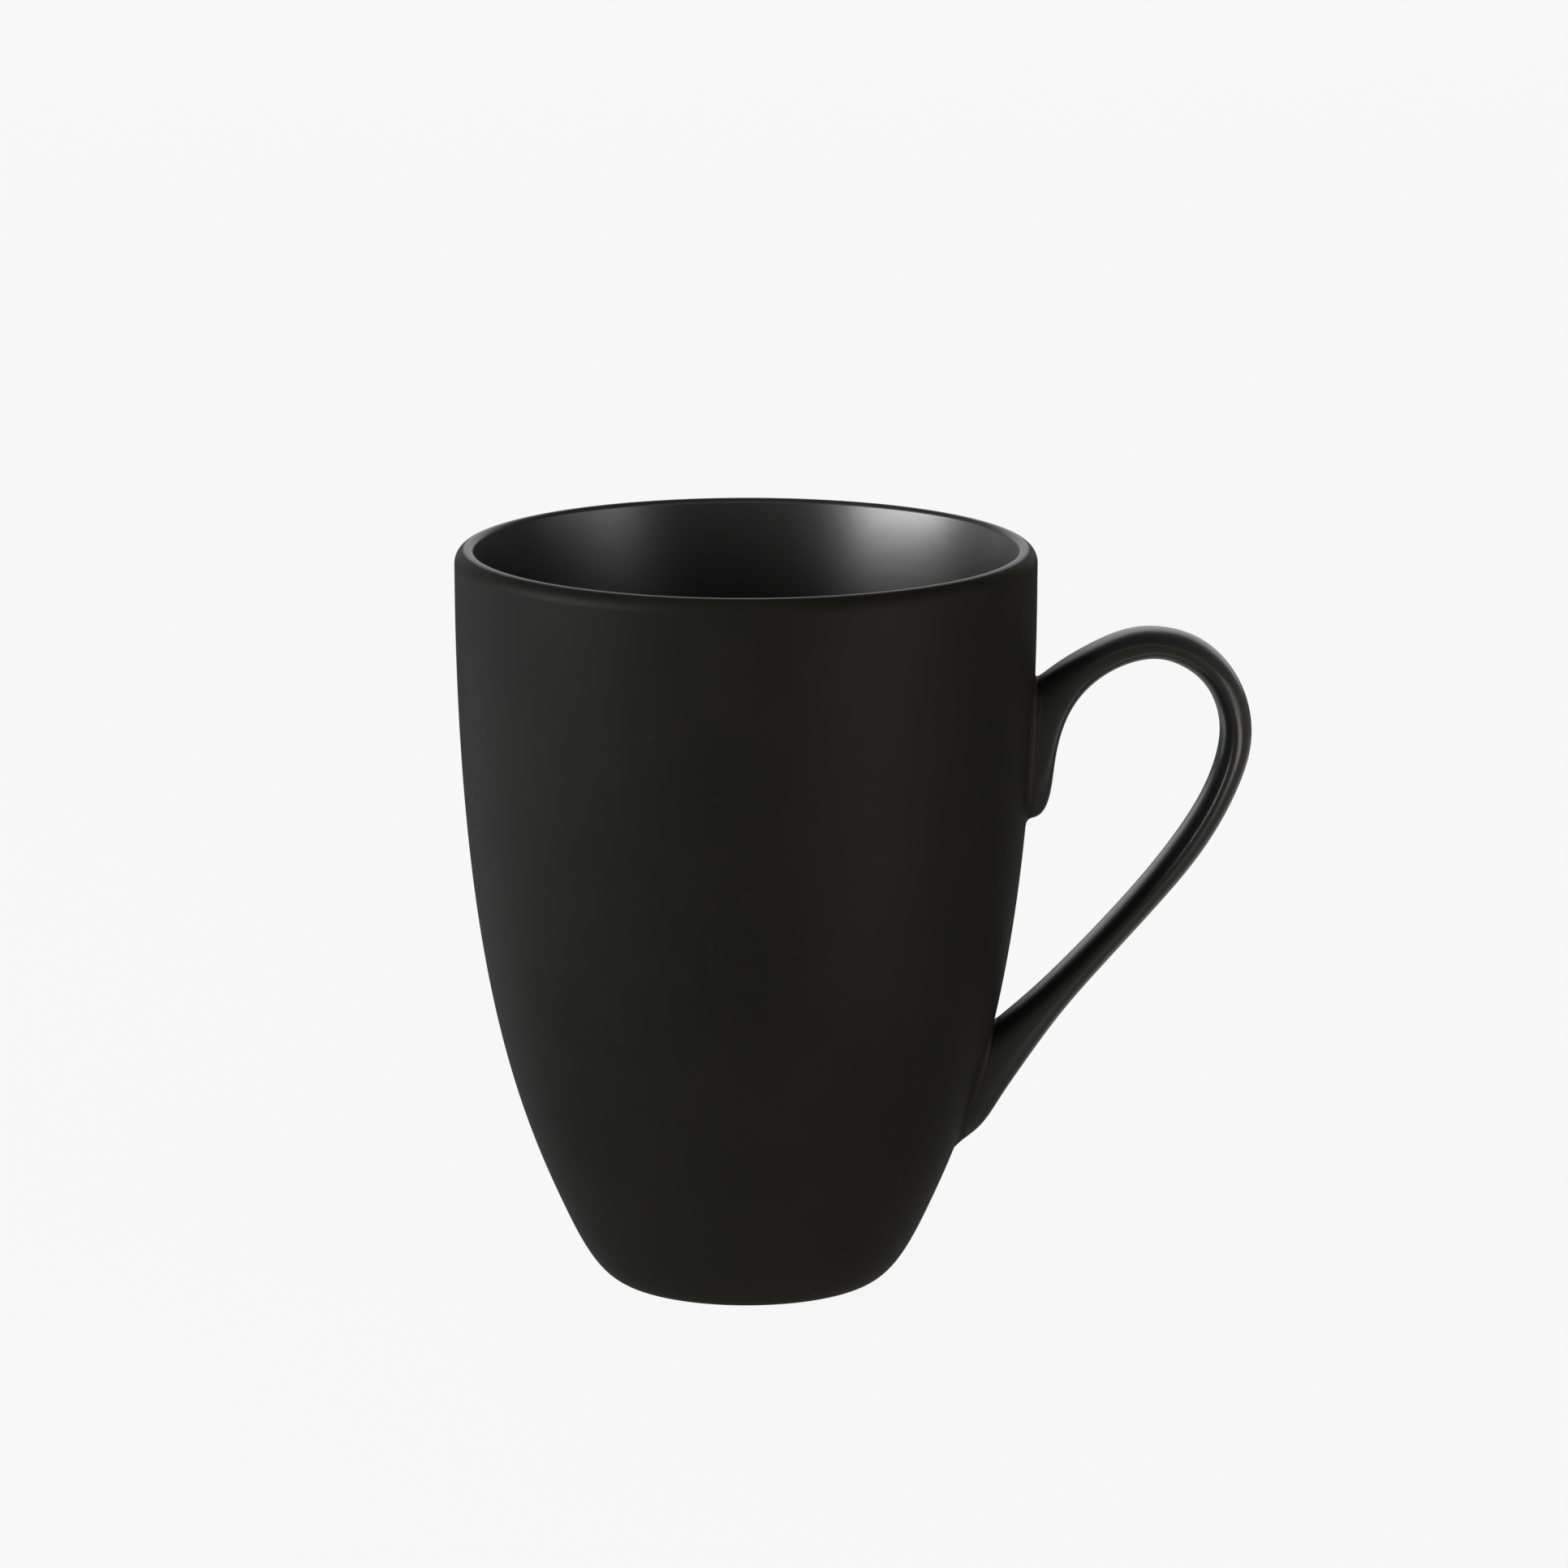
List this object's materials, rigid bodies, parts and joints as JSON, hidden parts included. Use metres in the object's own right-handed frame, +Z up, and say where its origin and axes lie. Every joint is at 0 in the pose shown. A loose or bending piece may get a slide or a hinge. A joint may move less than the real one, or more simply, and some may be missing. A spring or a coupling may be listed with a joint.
{
  "type": "ceramic mug",
  "caption": "Tall rounded drinking mug in dark glazed stoneware with a small foot ring, a rounded lip and an ear-shaped strap handle.",
  "frame": {"origin": "on the bowl's axis, in the plane of the foot ring; the flat of the shallow recess under the floor lies 0.8 mm above it", "axes": "+Z up the bowl's axis to the rim, +X from the axis towards the handle, Y across the handle"},
  "size_m": [0.1169, 0.0854, 0.11],
  "materials": {
    "matte_black_glaze": "dead-matte warm black glaze on stoneware, satin inside the bowl, bare fired clay under the foot ring",
    "satin_black_glaze": "satin black glaze on stoneware",
    "glazed_slip": "matte black glaze pooled over fired joining slip"
  },
  "bodies": {
    "root": {"mug_body": "matte_black_glaze", "handle": "satin_black_glaze", "upper_slip_joint": "glazed_slip", "lower_slip_joint": "glazed_slip"}
  },
  "joints": []
}
